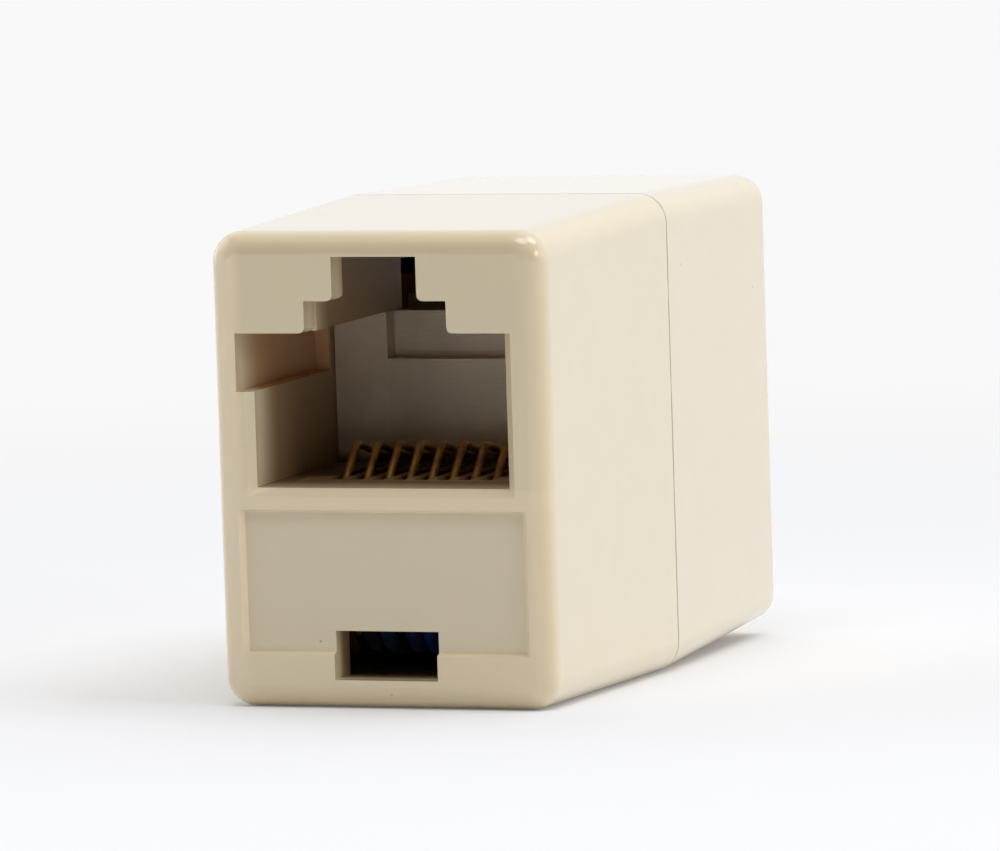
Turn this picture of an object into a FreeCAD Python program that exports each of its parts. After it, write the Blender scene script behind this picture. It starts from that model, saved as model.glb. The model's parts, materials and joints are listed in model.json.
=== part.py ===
import FreeCAD, Part
import math
import os

# RJ45 inline coupler: a keyed eight-way port at each end of one tapered casing.
# Millimetres. X is across, Y runs from the front port to the rear port, Z is up.
# The casing's seam lies in the plane Y = 0, and Z = 0 is its lowest line, along that seam.
# Both ends are alike, so a piece of an end is drawn once with the face at Y = 0 and its depth
# along +Y. It is then moved out to the front end, or turned half round to the rear end.

# casing
half_length = 16.3          # face to seam
face_width = 15.6
face_height = 21.08
draft_angle = 1.3           # degrees, each half widens from its face to the seam
long_edge_radius = 1.35     # edges that run along the casing
face_edge_radius = 1.0      # edges round the face
casing_wall = 1.2
front_wall = 1.95           # behind the lower half of the face
inner_edge_radius = 0.3
seam_chamfer = 0.07

# lap joint that the two halves close with
lap_length = 1.1
lap_thickness = 0.55
lap_clearance = 0.05

# port, with heights from the lower edge of the face
port_floor_height = 9.76
port_width = 11.8
port_height = 6.87
port_depth = 10.45          # face to the carrier's upright wall
port_floor_thickness = 1.1
lip_depth = 1.4             # thickness of the latch lips
step_width = 6.65           # wide step of the latch opening
step_height = 1.42
latch_width = 3.96          # narrow slot of the latch opening
latch_height = 1.95
key_width = 0.72            # keying notch on the left side
key_height = 2.6
key_depth = 10.0            # face to the notch's end
channel_ledge = 0.06        # the latch channel is this much narrower each side behind the lips
mouth_bevel = 0.36
lip_corner_radius = 0.28
pocket_web = 0.9            # plastic between the port and the moulding pockets beside it

# sunk panel and slot below the port, with heights from the lower edge of the face
panel_width = 13.0
panel_bottom = 2.5
panel_top = 8.72
panel_depth = 0.27
panel_side_lean = 0.22      # its sides open out by this much, and its top and bottom by less
panel_edge_lean = 0.1
slot_width = 4.82
slot_bottom = 1.28
slot_top = 3.44

# contact carrier
carrier_clearance = 0.05
upright_thickness = 1.9
recess_depth = 1.0
recess_height = 2.1
rail_gap = 0.42             # between the outermost contact and the carrier's rail
rail_width = 1.0
flange_width = 0.5          # rail flange under the port floor
comb_start = 3.3            # face to the comb
comb_length = 1.85
comb_height = 1.35
comb_front_web = 0.45       # closed front of the comb
comb_slot_depth = 1.2
comb_clearance = 0.2        # comb slot over the contact's diameter
rib_height = 0.42           # ribs that carry on from the comb to the rear bar
window_height = 0.78        # gap under the upright wall
bar_reach = 0.6             # rear bar in front of the upright wall
rest_length = 0.8           # raised rest on the bar's back, where the contacts lie in grooves
rest_groove_depth = 0.15
bar_skin = 0.35             # plastic under the lower row of sleeves
nib_grip = 0.4              # snap nibs that hold the carrier's back
nib_length = 1.0
nib_height = 2.4
nib_land = 0.25

# contacts
contact_count = 8
contact_pitch = 1.016
contact_diameter = 0.36
tip_depth = 4.45            # face to the contact's tip
tip_drop = 0.95             # tip below the port floor
crest_depth = 6.75          # face to the contact's crest
crest_rise = 1.28           # crest over the port floor, before it is rounded
crest_radius = 0.55
heel_depth = 10.2           # face to the bend where the contact comes to lie on the bar
heel_radius = 1.2
contact_level = 0.42        # contact over the port floor behind its heel
tail_radius = 0.7           # bends behind the bar
tail_gap = 0.08             # between the bends and the bar
row_spacing = 1.12          # between the two rows of crimp sleeves

# crimp sleeves and leads
sleeve_diameter = 1.0
sleeve_length = 2.3
sleeve_setback = 0.2        # sleeve's rear end in front of the bar's back
sleeve_clearance = 0.03
sleeve_grip = 1.15          # length that holds the contact's tail
lead_diameter = 0.82
lead_insertion = 1.0        # lead inside its sleeve
lead_exit = 1.0             # straight lead in front of the bar
lead_fold_depth = 4.4       # face to the fold of the leads in that end
lead_fold_stagger = 0.45
lead_fold_height = 6.0      # from the bottom of the casing, as the next two
lead_run_height = 2.35
twist_rise = 2.65           # centre of the twist over the runs
twist_spacing = 0.94        # leads drawn together in the twist
twist_lead_in = 1.8         # twist under the contacts' tails at each end
twist_steps = 4             # straight pieces of each lead between the bundle's ends

draft = math.tan(math.radians(draft_angle))
face_bottom = half_length * draft
port_floor = face_bottom + port_floor_height
port_ceiling = port_floor + port_height
step_top = port_ceiling + step_height
latch_top = step_top + latch_height
port_back = port_depth + upright_thickness
chamber_start = port_back + carrier_clearance
row_half = (contact_count - 1) / 2 * contact_pitch + contact_diameter / 2
rail_inner = row_half + rail_gap
rail_outer = rail_inner + rail_width
pocket_half = rail_outer + carrier_clearance
bar_front = port_depth - bar_reach
rest_top = port_floor + contact_level - contact_diameter / 2 + rest_groove_depth
sleeve_rows = [port_floor + contact_level - 2 * tail_radius - row * row_spacing for row in (0, 1)]
bar_bottom = sleeve_rows[1] - sleeve_diameter / 2 - bar_skin
rest_front = port_back - rest_length
sleeve_back = port_back - sleeve_setback
sleeve_front = sleeve_back - sleeve_length
tail_turn = port_back + tail_gap + tail_radius
twist_length = 2 * (half_length - tail_turn - contact_diameter / 2 + twist_lead_in)
far = 3 * face_height       # reaches past the whole coupler
front = -front_wall         # in front of the face, where a cut through it starts


def box(x0, x1, y0, y1, z0, z1):
    return Part.makeBox(x1 - x0, y1 - y0, z1 - z0, FreeCAD.Vector(x0, y0, z0))


def rod(diameter, start, end):
    axis = end - start
    return Part.makeCylinder(diameter / 2, axis.Length, start, axis)


def long_edges(solid):
    # edges that run along the coupler
    found = []
    for edge in solid.Edges:
        run = edge.Vertexes[-1].Point - edge.Vertexes[0].Point
        if abs(run.y) > 0.9 * run.Length > 0:
            found.append(edge)
    return found


def edges_at(solid, y):
    # edges whose ends and middle lie in the plane at a depth y
    found = []
    for edge in solid.Edges:
        middle = edge.valueAt((edge.FirstParameter + edge.LastParameter) / 2)
        depths = [vertex.Point.y for vertex in edge.Vertexes] + [middle.y]
        if all(abs(depth - y) < 1e-4 for depth in depths):
            found.append(edge)
    return found


def casing_block(y0, y1, inset, radius=0):
    # the drafted casing between two depths, drawn in from its outside by inset;
    # past the seam it narrows again, as the other half does
    sizes = []
    for y in (y0, y1):
        growth = min(y, 2 * half_length - y) * draft - inset
        sizes.append((face_width / 2 + growth, face_bottom - growth,
                      face_bottom + face_height + growth))
    (w0, low0, high0), (w1, low1, high1) = sizes
    block = Part.makeWedge(-w0, y0, low0, low1, -w1, w0, y1, high0, high1, w1)
    return block.makeFillet(radius, long_edges(block)) if radius > 0 else block


def casing_blank():
    block = casing_block(0, half_length, 0, long_edge_radius)
    block = block.makeFillet(face_edge_radius, edges_at(block, 0))
    return block.makeChamfer(seam_chamfer, edges_at(block, half_length))


def hollow():
    # chamber behind the port, room for the leads below it and the pockets over its ceiling
    inside = casing_block(lip_depth, half_length, casing_wall, inner_edge_radius)
    side = step_width / 2 + pocket_web
    over = port_ceiling + pocket_web
    behind_lip = lip_depth + pocket_web
    under = port_floor - port_floor_thickness
    zones = box(-far, far, chamber_start, far, -far, far)
    zones = zones.fuse(box(-far, far, front_wall, far, -far, under))
    zones = zones.fuse(box(side, far, behind_lip, far, over, far))
    zones = zones.fuse(box(-far, -side, behind_lip, far, over, far))
    return inside.common(zones)


def port_opening():
    # mouth with its two latch steps, the keying notch, and the wide latch channel behind the lips
    half = port_width / 2
    step_half = step_width / 2
    latch_half = latch_width / 2
    channel_half = step_half - channel_ledge
    key_floor = port_ceiling - key_height
    opening = box(-half, half, front, chamber_start, port_floor, port_ceiling)
    opening = opening.fuse(box(-half - key_width, 0, front, key_depth, key_floor, port_ceiling))
    opening = opening.fuse(box(-step_half, step_half, front, lip_depth, port_floor, step_top))
    opening = opening.fuse(box(-latch_half, latch_half, front, lip_depth, port_floor, latch_top))
    opening = opening.fuse(box(-channel_half, channel_half, lip_depth, chamber_start, port_floor, latch_top))
    for x, z in ((latch_half, step_top), (step_half, port_ceiling)):
        for side in (-1, 1):
            opening = opening.fuse(lip_corner(side * x, z, side))
    return opening.removeSplitter()


def lip_corner(x, z, side):
    # what rounding takes off a lip's corner that points into the opening
    reach = side * lip_corner_radius
    x0, x1 = sorted((x, x + reach))
    corner = box(x0, x1, front, lip_depth, z, z + lip_corner_radius)
    start = FreeCAD.Vector(x + reach, front, z + lip_corner_radius)
    return corner.cut(rod(2 * lip_corner_radius, start, FreeCAD.Vector(start.x, lip_depth, start.z)))


def funnel(half, low, high, depth, side_lean, low_lean, high_lean):
    # at the face it is wider than at its depth, by a lean of its own for the sides, bottom and top
    return Part.makeWedge(-half - 2 * side_lean, -depth, low - 2 * low_lean, low, -half,
                          half + 2 * side_lean, depth, high + 2 * high_lean, high, half)


def carrier_pocket():
    # cut in the port floor that the carrier's comb and rails slide into
    return box(-pocket_half, pocket_half, comb_start - carrier_clearance, far,
               port_floor - 2 * port_floor_thickness, port_floor)


def snap_nibs():
    # ramps on the side walls that hold the carrier's back
    wall = face_width / 2 + chamber_start * draft - casing_wall / 2
    grip = port_width / 2 - carrier_clearance - nib_grip
    middle = (port_floor + port_ceiling) / 2
    nibs = []
    for side in (-1, 1):
        outline = [(wall, port_back), (grip, port_back), (grip, port_back + nib_land),
                   (wall, port_back + nib_length), (wall, port_back)]
        points = [FreeCAD.Vector(side * x, y, middle - nib_height / 2) for x, y in outline]
        face = Part.Face(Part.makePolygon(points))
        nibs.append(face.extrude(FreeCAD.Vector(0, 0, nib_height)))
    return nibs


def lap_groove():
    # step inside the +X side of the seam
    groove = casing_block(half_length - lap_length, half_length, casing_wall - lap_thickness,
                          long_edge_radius - casing_wall + lap_thickness)
    return groove.common(box(0, far, 0, far, -far, far))


def lap_tongue():
    # inner part of the wall on the -X side, which stands into the other half's groove
    inset = casing_wall - lap_thickness + lap_clearance
    root = half_length - lap_length
    end = half_length + lap_length - lap_clearance
    tongue = casing_block(half_length, end, inset, long_edge_radius - inset)
    tongue = tongue.fuse(casing_block(root, half_length, inset, long_edge_radius - inset))
    core = casing_block(half_length, end, casing_wall, inner_edge_radius)
    core = core.fuse(casing_block(root, half_length, casing_wall, inner_edge_radius))
    return tongue.cut(core).common(box(-far, -lap_clearance, 0, far, -far, far))


def shell():
    body = casing_blank().cut(hollow()).cut(lap_groove()).cut(port_opening())
    body = body.cut(funnel(port_width / 2, port_floor, port_ceiling,
                           mouth_bevel, mouth_bevel, mouth_bevel, 0))
    body = body.cut(funnel(panel_width / 2, face_bottom + panel_bottom, face_bottom + panel_top,
                           panel_depth, panel_side_lean, panel_edge_lean, panel_edge_lean))
    body = body.cut(box(-slot_width / 2, slot_width / 2, front, casing_wall + front_wall,
                        face_bottom + slot_bottom, face_bottom + slot_top))
    body = body.cut(carrier_pocket())
    for addition in snap_nibs() + [lap_tongue()]:
        body = body.fuse(addition)
    return body.removeSplitter()


def contact_x(index):
    return (index - (contact_count - 1) / 2) * contact_pitch


def sleeve_level(index):
    return sleeve_rows[index % 2]


def carrier():
    # comb, ribs and rails in the port floor, upright wall at the back of the port, and the rear bar
    wide = port_width / 2 - carrier_clearance
    under_ledge = port_floor - port_floor_thickness - carrier_clearance
    comb_bottom = port_floor - comb_height
    wall_top = port_ceiling - carrier_clearance
    body = box(-wide, wide, port_depth, port_back, port_floor, wall_top)
    body = body.fuse(box(-rail_outer, rail_outer, comb_start, port_back, comb_bottom, port_floor))
    body = body.cut(box(-rail_inner, rail_inner, comb_start + comb_length, far,
                        comb_bottom, port_floor + window_height))
    flange = rail_outer + flange_width
    for side in (-1, 1):
        x0, x1 = sorted((side * rail_inner, side * flange))
        body = body.fuse(box(x0, x1, comb_start + comb_front_web, port_back, comb_bottom, under_ledge))
    body = body.fuse(box(-rail_inner, rail_inner, comb_start + comb_length, bar_front,
                         port_floor - rib_height, port_floor))
    body = body.fuse(box(-rail_inner, rail_inner, bar_front, port_back, bar_bottom, port_floor))
    body = body.fuse(box(-rail_inner, rail_inner, rest_front, port_back, port_floor, rest_top))
    body = body.fuse(box(-rail_outer, rail_outer, bar_front, port_back, bar_bottom, comb_bottom))
    step_half = step_width / 2
    body = body.cut(box(-step_half, step_half, port_depth, port_depth + recess_depth,
                        wall_top - recess_height, wall_top))
    for index in range(contact_count):
        body = body.cut(contact_clearance(index))
    return body.removeSplitter()


def contact_clearance(index):
    # slot between the comb's teeth and the ribs, groove in the rest and sleeve bore of one contact
    x = contact_x(index)
    half = (contact_diameter + comb_clearance) / 2
    cut = box(x - half, x + half, comb_start + comb_front_web, bar_front,
              port_floor - comb_slot_depth, port_floor)
    cut = cut.fuse(box(x - half, x + half, rest_front, port_back, rest_top - rest_groove_depth, rest_top))
    level = sleeve_level(index)
    bore = rod(sleeve_diameter + 2 * sleeve_clearance, FreeCAD.Vector(x, bar_front, level),
               FreeCAD.Vector(x, port_back, level))
    return cut.fuse(bore)


def rounded_path(points, radii=None):
    # straight runs with a tangent arc at each corner; without radii, each arc is as large
    # as 0.45 of the shorter run beside it allows
    edges = []
    at = points[0]
    for number in range(1, len(points) - 1):
        before = points[number] - points[number - 1]
        after = points[number + 1] - points[number]
        half_turn = before.getAngle(after) / 2
        if radii:
            radius = radii[number - 1]
            setback = radius * math.tan(half_turn)
        else:
            setback = 0.45 * min(before.Length, after.Length)
            radius = setback / math.tan(half_turn)
        inward = (after.normalize() - before.normalize()).normalize()
        start = points[number] - before * setback
        end = points[number] + after * setback
        middle = points[number] + inward * radius * (1 / math.cos(half_turn) - 1)
        if (start - at).Length > 1e-6:
            edges.append(Part.LineSegment(at, start).toShape())
        edges.append(Part.Arc(start, middle, end).toShape())
        at = end
    edges.append(Part.LineSegment(at, points[-1]).toShape())
    return Part.Wire(edges)


def tube(path, diameter):
    start = path.Edges[0].Vertexes[0].Point
    heading = path.Edges[0].tangentAt(path.Edges[0].FirstParameter)
    ring = Part.Wire(Part.makeCircle(diameter / 2, start, heading))
    return path.makePipeShell([ring], True, False)


def contact(index):
    # from the tip in the comb, over the crest, under the upright wall, round the bar, into its sleeve
    x = contact_x(index)
    level = port_floor + contact_level
    tail_end = sleeve_back - sleeve_grip + sleeve_clearance
    route = [(tip_depth, port_floor - tip_drop), (crest_depth, port_floor + crest_rise),
             (heel_depth, level), (tail_turn, level), (tail_turn, sleeve_level(index)),
             (tail_end, sleeve_level(index))]
    points = [FreeCAD.Vector(x, y, z) for y, z in route]
    return tube(rounded_path(points, [crest_radius, heel_radius, tail_radius, tail_radius]),
                contact_diameter)


def crimp_sleeve(index):
    # the contact's tail fills its rear bore, and the lead its wider front bore
    x = contact_x(index)
    z = sleeve_level(index)
    front, step, back = [FreeCAD.Vector(x, y, z)
                         for y in (sleeve_front, sleeve_back - sleeve_grip, sleeve_back)]
    sleeve = rod(sleeve_diameter, front, back)
    return sleeve.cut(rod(lead_diameter, front, step)).cut(rod(contact_diameter, step, back))


def lead(index):
    # from the front sleeve it folds back near the face, runs under the port, crosses over in
    # the half turn of the bundle, and does the same again at the rear end
    x = contact_x(index)
    fold = lead_fold_depth + lead_fold_stagger * (index % 2)
    end_route = [(sleeve_front + lead_insertion, sleeve_level(index)),
                 (bar_front - lead_exit, sleeve_level(index)),
                 (fold, lead_fold_height), (fold, lead_run_height)]
    points = [FreeCAD.Vector(x, y - half_length, z) for y, z in end_route]
    for step in range(twist_steps + 1):
        angle = math.pi * step / twist_steps
        along = twist_length * (step / twist_steps - 0.5)
        out = x * (1 + (twist_spacing / contact_pitch - 1) * math.sin(angle))
        height = lead_run_height + (twist_rise + out) * math.sin(angle)
        points.append(FreeCAD.Vector(out * math.cos(angle), along, height))
    points += [FreeCAD.Vector(-x, half_length - y, z) for y, z in reversed(end_route)]
    return tube(rounded_path(points), lead_diameter)


def place(shape, end):
    placed = shape.copy()
    placed.translate(FreeCAD.Vector(0, -half_length, 0))
    if end == "rear":
        placed.rotate(FreeCAD.Vector(0, 0, 0), FreeCAD.Vector(0, 0, 1), 180)
    return placed


def build():
    pieces = {}
    end_pieces = {"shell": shell(), "contact_carrier": carrier()}
    for index in range(contact_count):
        end_pieces[f"contact_{index + 1}"] = contact(index)
        end_pieces[f"crimp_sleeve_{index + 1}"] = crimp_sleeve(index)
    for end in ("front", "rear"):
        for name, shape in end_pieces.items():
            pieces[f"{end}_{name}"] = place(shape, end)
    for index in range(contact_count):
        pieces[f"lead_{index + 1}"] = lead(index)
    return pieces


os.makedirs("parts", exist_ok=True)
for name, piece in build().items():
    piece.exportStep(f"parts/{name}.step")
    print(name, "solids", len(piece.Solids), "volume", round(piece.Volume, 2))
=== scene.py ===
import json
import math

import bpy
import numpy as np
from mathutils import Matrix, Vector


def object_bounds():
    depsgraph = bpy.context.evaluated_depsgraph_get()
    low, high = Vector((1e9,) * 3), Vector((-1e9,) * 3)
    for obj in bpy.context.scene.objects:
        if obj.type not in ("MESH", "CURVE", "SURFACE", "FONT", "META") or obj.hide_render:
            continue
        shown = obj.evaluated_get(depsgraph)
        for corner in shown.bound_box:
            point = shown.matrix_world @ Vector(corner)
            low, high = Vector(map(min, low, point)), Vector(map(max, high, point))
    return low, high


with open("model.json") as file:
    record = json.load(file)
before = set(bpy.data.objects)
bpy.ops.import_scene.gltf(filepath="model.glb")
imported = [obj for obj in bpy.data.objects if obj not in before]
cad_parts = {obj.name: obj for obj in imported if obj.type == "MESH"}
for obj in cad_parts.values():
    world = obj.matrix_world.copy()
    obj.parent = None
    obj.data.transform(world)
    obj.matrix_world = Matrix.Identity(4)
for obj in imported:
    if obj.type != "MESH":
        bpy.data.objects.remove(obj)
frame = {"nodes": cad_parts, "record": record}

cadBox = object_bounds()
record = frame["record"]
nodes = frame["nodes"]
millimetre = 0.001
white = (1.0, 1.0, 1.0)

boxLow, boxHigh = Vector(cadBox[0]), Vector(cadBox[1])
boxCentre = (boxLow + boxHigh) / 2
# in millimetres, as all lengths in the materials are
halfLength = (boxHigh.y - boxLow.y) / 2 / millimetre
halfWidth = (boxHigh.x - boxLow.x) / 2 / millimetre      # at the seam, where the casing is widest
halfHeight = boxHigh.z / 2 / millimetre
portFloorTop = 10.13
print("frame loaded:", len(nodes), "nodes")


class Sock:
    # wraps a shader socket, so that ordinary sums on it add Math nodes
    def __init__(self, shader, socket):
        self.shader, self.socket = shader, socket

    def maths(self, operation, *values):
        return self.shader.node("ShaderNodeMath", {"operation": operation}, dict(enumerate(values)))

    def __add__(self, other):
        return self.maths("ADD", self, other)

    def __sub__(self, other):
        return self.maths("SUBTRACT", self, other)

    def __rsub__(self, other):
        return self.maths("SUBTRACT", other, self)

    def __mul__(self, other):
        return self.maths("MULTIPLY", self, other)

    def __abs__(self):
        return self.maths("ABSOLUTE", self)

    def least(self, other):
        return self.maths("MINIMUM", self, other)

    def most(self, other):
        return self.maths("MAXIMUM", self, other)

    def sign(self):
        return self.maths("SIGN", self)

    def sine(self):
        return self.maths("SINE", self)

    def between(self, low, high):
        # 0 below low, 1 above high, and a smooth step between them
        return self.shader.node("ShaderNodeMapRange", {"interpolation_type": "SMOOTHSTEP"},
                                {"Value": self, "From Min": low, "From Max": high})

    __radd__ = __add__
    __rmul__ = __mul__


class Shader:
    # the node tree of its owner, a material or a world
    def __init__(self, owner):
        self.owner = owner
        owner.use_nodes = True
        self.tree = owner.node_tree
        self.tree.nodes.clear()

    def node(self, kind, settings=None, inputs=None, output=0):
        made = self.tree.nodes.new(kind)
        for name, value in (settings or {}).items():
            setattr(made, name, value)
        for key, value in (inputs or {}).items():
            if isinstance(value, Sock):
                self.tree.links.new(value.socket, made.inputs[key])
            elif isinstance(value, tuple) and len(made.inputs[key].default_value) == 4:
                made.inputs[key].default_value = (*value, 1)
            else:
                made.inputs[key].default_value = value
        return Sock(self, made.outputs[output]) if made.outputs else None

    def place(self, stretch=(1, 1, 1)):
        # object coordinates in millimetres, multiplied by stretch
        where = self.node("ShaderNodeTexCoord", output="Object")
        scale = tuple(s / millimetre for s in stretch)
        return self.node("ShaderNodeVectorMath", {"operation": "MULTIPLY"}, {0: where, 1: scale})

    def axes(self):
        split = self.node("ShaderNodeSeparateXYZ", inputs={0: self.place()})
        return [Sock(self, axis) for axis in split.socket.node.outputs]

    def noise(self, perMillimetre, detail=3, stretch=(1, 1, 1)):
        return self.node("ShaderNodeTexNoise", {"noise_dimensions": "3D"},
                         {"Vector": self.place(stretch), "Scale": perMillimetre, "Detail": detail})

    def mix(self, factor, first, second, way="MIX"):
        # the node has these sockets once for each kind of value; 6, 7 and output 2 are the colours
        return self.node("ShaderNodeMix", {"data_type": "RGBA", "blend_type": way},
                         {0: factor, 6: first, 7: second}, output=2)

    def bump(self, height, distance, strength=0.5, over=None):
        inputs = {"Height": height, "Distance": distance * millimetre, "Strength": strength}
        if over:
            inputs["Normal"] = over
        return self.node("ShaderNodeBump", inputs=inputs)

    def surface(self, inputs):
        self.output(self.node("ShaderNodeBsdfPrincipled", inputs=inputs))

    def output(self, shader, kind="ShaderNodeOutputMaterial"):
        self.node(kind, inputs={"Surface": shader})


# each pair of lengths or values is where a fade starts and where it ends
casingLook = dict(
    draft=1.3,
    ivory=(0.81, 0.70, 0.49), shade=(0.803, 0.690, 0.477), mottle=0.55, mottleFade=(0.35, 0.65),
    faceLow=(0.88, 0.742, 0.495), faceHigh=(0.775, 0.650, 0.430), faceRise=(1, 17), faceDepth=(0.3, 1.3),
    rimHighlight=(0.92, 0.772, 0.525), rimWidth=(0.9, 1.7), rimTurn=(-3, 3), rimFarSide=0.2,
    sill=9.65, sillHalf=0.7, sillFade=(0, 0.4), sillShare=0.55,
    edge=(0.79, 0.63, 0.375), edgeHighlight=(0.90, 0.735, 0.47), edgeRise=(20.3, 21.2),
    edgeWidth=(0.2, 0.8), edgeDepth=(0.1, 0.6), edgeShare=0.85,
    cavity=(0.48, 0.375, 0.275), notch=(0.80, 0.55, 0.41), notchAcross=(5.95, 6.0),
    wall=(0.8, 1.0), mouth=(0.25, 0.8), cavityFrom=0.3, cavityTo=3.2, slotTo=1.3, slotTop=(4.5, 5.0),
    floorShade=(0.62, 0.56, 0.52), floorOver=(0.02, 0.06),
    seam=(0.32, 0.23, 0.14), seamWidth=(0.05, 0.10), seamPatch=0.5, seamFade=(0.25, 0.55), seamShare=0.65,
    fleck=(0.36, 0.28, 0.19), fleckScale=0.42, fleckSize=(0.02, 0.035), fleckPatch=0.9,
    fleckFade=(0.5, 0.56), fleckShare=0.7,
    roughness=0.32, cavityRoughness=0.5, ior=1.52, coat=1.0, coatRoughness=0.11, coatIor=1.5,
    grain=5.0, grainHeight=0.0012, grainStrength=0.4, grainRough=0.06,
    flow=0.12, flowStretch=(1, 0.5, 1), flowHeight=0.01, flowStrength=0.3, flowRough=0.06)
panelLook = dict(tone=(0.825, 0.712, 0.512), roughness=0.5, grain=7.0, grainHeight=0.004,
                 halfAcross=6.5, middle=5.98, halfUp=3.11, border=(0, 0.05), depthFrom=(0.12, 0.2),
                 depthTo=(0.4, 0.5))


def casingDepths(x, y, z):
    # how far a point lies inside the drafted sides, inside the top and bottom, and inside the ends
    taper = abs(y) * math.tan(math.radians(casingLook["draft"]))
    side = halfWidth - taper - abs(x)
    level = halfHeight - taper - abs(z - halfHeight)
    return side, level, halfLength - abs(y)


def casingSkin(s, z, across, side, level, end):
    look = casingLook
    mottle = s.noise(look["mottle"], detail=4).between(*look["mottleFade"])
    skin = s.mix(mottle, look["shade"], look["ivory"])
    # painted light: the end faces are paler towards the foot, and a painted highlight makes the narrow rims
    # beside the port and under it paler still, the rims beside the port more on one side than the other
    face = s.mix(z.between(*look["faceRise"]), look["faceLow"], look["faceHigh"])
    farSide = look["rimFarSide"]
    uneven = farSide + across.between(*look["rimTurn"]) * (1 - farSide)
    beside = (1 - side.between(*look["rimWidth"])) * uneven
    under = (look["sillHalf"] - abs(z - look["sill"])).between(*look["sillFade"]) * look["sillShare"]
    face = s.mix(beside.most(under), face, look["rimHighlight"])
    skin = s.mix(1 - end.between(*look["faceDepth"]), skin, face)
    # an edge is where the second of the three depths is small as well as the first; there the colour takes
    # painted shade, a deeper, warmer tan, and towards the top a painted highlight
    first = side.least(level).least(end)
    second = side.most(level).least(side.least(level).most(end))
    edge = (1 - second.between(*look["edgeWidth"])) * (1 - first.between(*look["edgeDepth"]))
    edgeTone = s.mix(z.between(*look["edgeRise"]), look["edge"], look["edgeHighlight"])
    return s.mix(edge * look["edgeShare"], skin, edgeTone)


def panelMask(x, z, end):
    # 1 on the sunk panel of each end
    look = panelLook
    mask = (look["halfAcross"] - abs(x)).between(*look["border"]) * end.between(*look["depthFrom"])
    mask = mask * (look["halfUp"] - abs(z - look["middle"])).between(*look["border"])
    return mask * (1 - end.between(*look["depthTo"]))


def casingInsideShade(s, tinted, z, across, depth, end):
    # painted shade: the port and the slot are browner the deeper they lie and the floor darker, and the
    # notch is redder, a painted glow of light through its thin wall
    look = casingLook
    within = depth.between(*look["wall"])
    inside = within * end.between(*look["mouth"])
    low = 1 - z.between(*look["slotTop"])
    reach = look["cavityTo"] - low * (look["cavityTo"] - look["slotTo"])
    cavity = within * end.between(look["cavityFrom"], reach)
    notch = across.between(*look["notchAcross"])
    tinted = s.mix(cavity, tinted, s.mix(notch, look["cavity"], look["notch"]), "MULTIPLY")
    over, clear = (portFloorTop + rise for rise in look["floorOver"])
    floor = inside * (1 - z.between(over, clear)) * (1 - low)
    return inside, s.mix(floor, tinted, look["floorShade"], "MULTIPLY")


def casingMarks(s, tinted, y):
    # a darker joint between the halves, and a few dark flecks
    look = casingLook
    seam = (1 - abs(y).between(*look["seamWidth"])) * s.noise(look["seamPatch"]).between(*look["seamFade"])
    tinted = s.mix(seam * look["seamShare"], tinted, look["seam"])
    cells = s.node("ShaderNodeTexVoronoi", {"feature": "F1"},
                   {"Vector": s.place(), "Scale": look["fleckScale"]})
    patch = s.noise(look["fleckPatch"], detail=1).between(*look["fleckFade"])
    fleck = (1 - cells.between(*look["fleckSize"])) * patch
    return s.mix(fleck * look["fleckShare"], tinted, look["fleck"])


def casingPlastic():
    look = casingLook
    s = Shader(bpy.data.materials.new("ivory_casing"))
    x, y, z = s.axes()
    across = x * y.sign()      # the same way round at both ends
    side, level, end = casingDepths(x, y, z)
    tinted = casingSkin(s, z, across, side, level, end)
    # the sunk panels are matt and a little greyer
    panel = panelMask(x, z, end)
    tinted = s.mix(panel, tinted, panelLook["tone"])
    inside, tinted = casingInsideShade(s, tinted, z, across, side.least(level), end)
    colour = casingMarks(s, tinted, y)
    grain = s.noise(look["grain"])
    coarse = s.noise(panelLook["grain"])
    flow = s.noise(look["flow"], detail=1, stretch=look["flowStretch"])
    rough = look["roughness"] + (grain - 0.5) * look["grainRough"] + (flow - 0.5) * look["flowRough"]
    rough = rough + panel * (panelLook["roughness"] - look["roughness"])
    rough = rough + inside * (look["cavityRoughness"] - look["roughness"])
    fine = s.bump(grain, look["grainHeight"], look["grainStrength"])
    grained = s.bump(coarse * panel, panelLook["grainHeight"], over=fine)
    wavy = s.bump(flow, look["flowHeight"], look["flowStrength"], over=grained)
    s.surface({"Base Color": colour, "Roughness": rough, "Normal": wavy, "IOR": look["ior"],
               "Coat Weight": (1 - panel) * (1 - inside) * look["coat"],
               "Coat Roughness": look["coatRoughness"], "Coat IOR": look["coatIor"]})
    return s.owner


carrierLook = dict(
    resin=(0.60, 0.505, 0.385), shade=(0.55, 0.455, 0.335), mottle=0.6, mottleFade=(0.35, 0.65),
    litSide=(0.92, 0.79, 0.63), brightAcross=(-3.0, 3.5), brightShare=0.9,
    line=0.11, lineHeight=0.006, lineDark=(0.2, 0.16, 0.11), lineTone=0.12, lineAcross=(-3.35, -3.25),
    lineWander=0.8, lineBend=2, lineRough=0.02,
    comb=(0.64, 0.50, 0.31), low=(0.30, 0.22, 0.16), combEnd=(4.65, 5.25), lowOver=(0.1, 0.7),
    grain=7, grainHeight=0.003, grainRough=0.12, roughness=0.45, ior=1.52)


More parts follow.
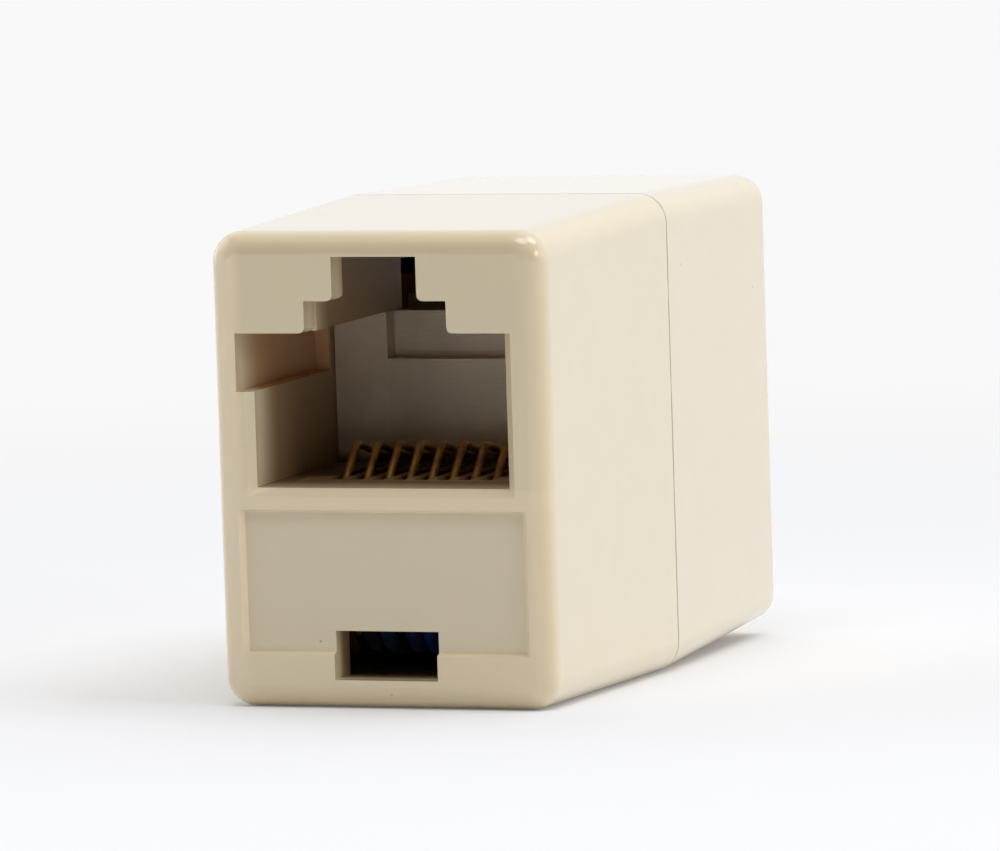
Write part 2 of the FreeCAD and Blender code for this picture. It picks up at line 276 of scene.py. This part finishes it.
def carrierPlastic():
    look = carrierLook
    s = Shader(bpy.data.materials.new("carrier_resin"))
    x, y, z = s.axes()
    mottle = s.noise(look["mottle"]).between(*look["mottleFade"])
    colour = s.mix(mottle, look["shade"], look["resin"])
    # fine level lines on the wall under its recess
    wander = s.noise(look["lineWander"], detail=2) * look["lineBend"]
    mark = (z * (2 * math.pi / look["line"]) + wander).sine()
    across = x * y.sign() * -1
    marked = across.between(*look["lineAcross"])
    # painted light: the wall is paler towards one side
    colour = s.mix(across.between(*look["brightAcross"]) * look["brightShare"], colour, look["litSide"])
    colour = s.mix(marked * (mark * 0.5 + 0.5) * look["lineTone"], colour, look["lineDark"])
    # painted shade: the carrier low in the port, its comb, ribs and rails, is darker, and darker still
    # behind the comb's front teeth
    over, clear = (portFloorTop + rise for rise in look["lowOver"])
    end = halfLength - abs(y)
    shade = s.mix(end.between(*look["combEnd"]), look["comb"], look["low"])
    colour = s.mix(1 - z.between(over, clear), colour, shade, "MULTIPLY")
    grain = s.noise(look["grain"])
    lines = s.bump(mark * marked, look["lineHeight"])
    fine = s.bump(grain, look["grainHeight"], over=lines)
    rough = look["roughness"] + (grain - 0.5) * look["grainRough"] + mark * look["lineRough"]
    s.surface({"Base Color": colour, "Roughness": rough, "Normal": fine, "IOR": look["ior"]})
    return s.owner


contactLook = dict(gold=(0.78, 0.53, 0.20), worn=(0.55, 0.36, 0.17), patch=1.1, patchFade=(0.4, 0.65),
                   drawn=3, drawnStretch=(6, 1, 1), drawnHeight=0.004, drawnRough=0.2, roughness=0.28)


def contactMetal():
    look = contactLook
    s = Shader(bpy.data.materials.new("gilt_contact"))
    drawn = s.noise(look["drawn"], detail=4, stretch=look["drawnStretch"])
    patch = s.noise(look["patch"]).between(*look["patchFade"])
    s.surface({"Base Color": s.mix(patch, look["gold"], look["worn"]), "Metallic": 1.0,
               "Roughness": look["roughness"] + drawn * look["drawnRough"],
               "Normal": s.bump(drawn, look["drawnHeight"])})
    return s.owner


sleeveLook = dict(tin=(0.70, 0.69, 0.66), dull=(0.50, 0.48, 0.44), patch=1.6, patchFade=(0.35, 0.65),
                  grain=6, grainHeight=0.006, grainStrength=0.6, grainRough=0.2, roughness=0.34)


def sleeveMetal():
    look = sleeveLook
    s = Shader(bpy.data.materials.new("tinned_sleeve_metal"))
    patch = s.noise(look["patch"], detail=4).between(*look["patchFade"])
    grain = s.noise(look["grain"])
    s.surface({"Base Color": s.mix(patch, look["dull"], look["tin"]), "Metallic": 1.0,
               "Roughness": look["roughness"] + grain * look["grainRough"],
               "Normal": s.bump(grain, look["grainHeight"], look["grainStrength"])})
    return s.owner


leadLook = dict(streak=1.2, streakFade=(0.3, 0.7), deeper=0.72, roughness=0.24, ior=1.5,
                ripple=5, rippleHeight=0.006, rippleStrength=0.6, rippleRough=0.15)


def leadInsulation(slotName, base):
    look = leadLook
    s = Shader(bpy.data.materials.new(slotName + "_insulation"))
    streak = s.noise(look["streak"]).between(*look["streakFade"])
    deeper = tuple(c * look["deeper"] for c in base)
    ripple = s.noise(look["ripple"])
    s.surface({"Base Color": s.mix(streak, deeper, base), "IOR": look["ior"],
               "Roughness": look["roughness"] + (ripple - 0.5) * look["rippleRough"],
               "Normal": s.bump(ripple, look["rippleHeight"], look["rippleStrength"])})
    return s.owner


# painted shade: the leads are much darker and bluer than the colours they are named for, for the shade of
# the chamber under the port
leadColoursInShade = dict(
    lead_orange=(0.14, 0.065, 0.030),
    lead_brown=(0.060, 0.050, 0.060),
    lead_green=(0.022, 0.065, 0.130),
    lead_black=(0.040, 0.050, 0.160),
    lead_blue=(0.020, 0.060, 0.300),
    lead_grey=(0.14, 0.15, 0.19),
    lead_red=(0.12, 0.008, 0.008),
    lead_yellow=(0.50, 0.36, 0.03))
finishes = dict(casing=casingPlastic(), carrier=carrierPlastic(), contact_gold=contactMetal(),
                tinned_sleeve=sleeveMetal())
for slotName, base in leadColoursInShade.items():
    finishes[slotName] = leadInsulation(slotName, base)
print("finishes made:", len(finishes))

for entry in record["subparts"]:
    piece = nodes[entry["node"]]
    piece.data.materials.clear()
    piece.data.materials.append(finishes[entry["material_slot"]])
print("nodes dressed:", len(nodes))


# radii and the fade in metres, the tilt in degrees
stageLook = dict(radii=(0.0, 0.02, 0.05, 0.12, 0.3, 0.8, 1.6, 3.0), spokes=72, tilt=1.3,
                 floor=(0.82, 0.82, 0.83), grain=0.4, grainTone=0.99, lift=0.10, white=0.945,
                 fade=(0.035, 0.18))


def rayMask(s, *kinds):
    # 1 for rays of these kinds, 0 for all others
    outputs = s.node("ShaderNodeLightPath").socket.node.outputs
    mask = Sock(s, outputs[kinds[0]])
    for kind in kinds[1:]:
        mask = mask.most(Sock(s, outputs[kind]))
    return mask


def stageFloor():
    # a flat disc: radius times the cosine and sine of an angle, tipped about the seam's lowest line so
    # that the front half's underside lies on it
    look = stageLook
    angles = np.linspace(0, 2 * np.pi, look["spokes"], endpoint=False)
    radius, angle = np.meshgrid(np.array(look["radii"]), angles, indexing="ij")
    across, along = radius * np.cos(angle), radius * np.sin(angle)
    height = -along * math.tan(math.radians(look["tilt"]))
    points = np.stack([across, along, height], -1).reshape(-1, 3)
    rows, columns = radius.shape
    i, j = np.meshgrid(np.arange(rows - 1), np.arange(columns), indexing="ij")
    k = (j + 1) % columns
    faces = np.stack([i * columns + j, (i + 1) * columns + j, (i + 1) * columns + k, i * columns + k], -1)
    mesh = bpy.data.meshes.new("floor")
    mesh.from_pydata(points.tolist(), [], faces.reshape(-1, 4).tolist())
    floor = bpy.data.objects.new("floor", mesh)
    bpy.context.scene.collection.objects.link(floor)
    # far from the object the floor is white to the camera, in mirrors and through glass
    s = Shader(bpy.data.materials.new("floor_paper"))
    seen = rayMask(s, "Is Camera Ray", "Is Glossy Ray", "Is Transmission Ray")
    away = s.node("ShaderNodeVectorMath", {"operation": "LENGTH"}, {0: s.place()}, output="Value")
    far = (away * millimetre).between(*look["fade"])
    grain = s.noise(look["grain"], detail=2)
    paper = s.mix(grain, tuple(c * look["grainTone"] for c in look["floor"]), look["floor"])
    matt = s.node("ShaderNodeBsdfDiffuse", inputs={"Color": paper})
    glow = s.node("ShaderNodeEmission", inputs={"Color": white, "Strength": seen * look["lift"]})
    near = s.node("ShaderNodeAddShader", inputs={0: matt, 1: glow})
    plain = s.node("ShaderNodeEmission", inputs={"Color": white, "Strength": look["white"]})
    s.output(s.node("ShaderNodeMixShader", inputs={0: far * seen, 1: near, 2: plain}))
    mesh.materials.append(s.owner)


skyLook = dict(front=0.01, rear=0.93, turn=(-0.12, 0.5), white=0.945)


def skyAround():
    # a white sweep behind the object and a dim room in front of it; the camera sees white all round
    look = skyLook
    world = bpy.data.worlds.new("studio")
    bpy.context.scene.world = world
    s = Shader(world)
    camera = rayMask(s, "Is Camera Ray")
    outward = s.node("ShaderNodeTexCoord", output="Generated")
    heading = s.node("ShaderNodeSeparateXYZ", inputs={0: outward}, output="Y")
    level = look["front"] + heading.between(*look["turn"]) * (look["rear"] - look["front"])
    strength = camera * look["white"] + (1 - camera) * level
    background = s.node("ShaderNodeBackground", inputs={"Color": white, "Strength": strength})
    s.output(background, "ShaderNodeOutputWorld")


# angles are in degrees, azimuth from the front towards +X; distance and size are in metres
lamps = dict(
    key=dict(azimuth=98, elevation=62, distance=0.6, size=0.30, watts=0.85, colour=(0.96, 0.99, 1.08)),
    ceiling=dict(azimuth=60, elevation=82, distance=0.7, size=0.9, watts=0.7),
    front_top=dict(azimuth=12, elevation=67, distance=0.6, size=0.35, watts=0.95),
    right_front=dict(azimuth=71, elevation=20, distance=0.6, size=0.2, watts=0.50),
    right_side=dict(azimuth=94, elevation=12, distance=0.6, size=0.4, watts=0.38, colour=(0.96, 0.99, 1.10)),
    left_side=dict(azimuth=-84, elevation=15, distance=0.6, size=0.8, watts=1.7))


def outwards(azimuth, elevation):
    # the direction away from the object, from two angles in radians
    return Vector((math.sin(azimuth) * math.cos(elevation), -math.cos(azimuth) * math.cos(elevation),
                   math.sin(elevation)))


def softLamp(name, azimuth, elevation, distance, size, watts, colour=white):
    away = outwards(math.radians(azimuth), math.radians(elevation))
    data = bpy.data.lights.new(name, "AREA")
    data.shape, data.size, data.energy, data.color = "DISK", size, watts, colour
    lamp = bpy.data.objects.new(name, data)
    lamp.location = boxCentre + away * distance
    lamp.rotation_euler = away.to_track_quat("Z", "Y").to_euler()
    bpy.context.scene.collection.objects.link(lamp)


stageFloor()
skyAround()
for name, values in lamps.items():
    softLamp(name, **values)
print("stage and lights made")


# angles in degrees, the clip in metres and the rest in millimetres, with the aim from the middle of the box
cameraView = dict(azimuth=19.60, elevation=5.80, roll=1.819, distance=366.4, lens=299.75, sensor=36,
                  aim=(4.614, -13.319, 1.739), clip=(0.01, 20))


def viewCamera():
    view = cameraView
    azimuth, elevation, roll = (math.radians(view[k]) for k in ("azimuth", "elevation", "roll"))
    back = outwards(azimuth, elevation)
    right = Vector((math.cos(azimuth), math.sin(azimuth), 0))
    up = back.cross(right)
    right, up = (right * math.cos(roll) - up * math.sin(roll),
                 right * math.sin(roll) + up * math.cos(roll))
    data = bpy.data.cameras.new("view")
    data.lens, data.sensor_width = view["lens"], view["sensor"]
    data.clip_start, data.clip_end = view["clip"]
    camera = bpy.data.objects.new("view", data)
    turned = Matrix((right, up, back)).transposed().to_4x4()
    turned.translation = boxCentre + (Vector(view["aim"]) + back * view["distance"]) * millimetre
    camera.matrix_world = turned
    bpy.context.scene.collection.objects.link(camera)
    bpy.context.scene.camera = camera


viewCamera()
bpy.context.scene.view_settings.view_transform = "Standard"
print("camera set")
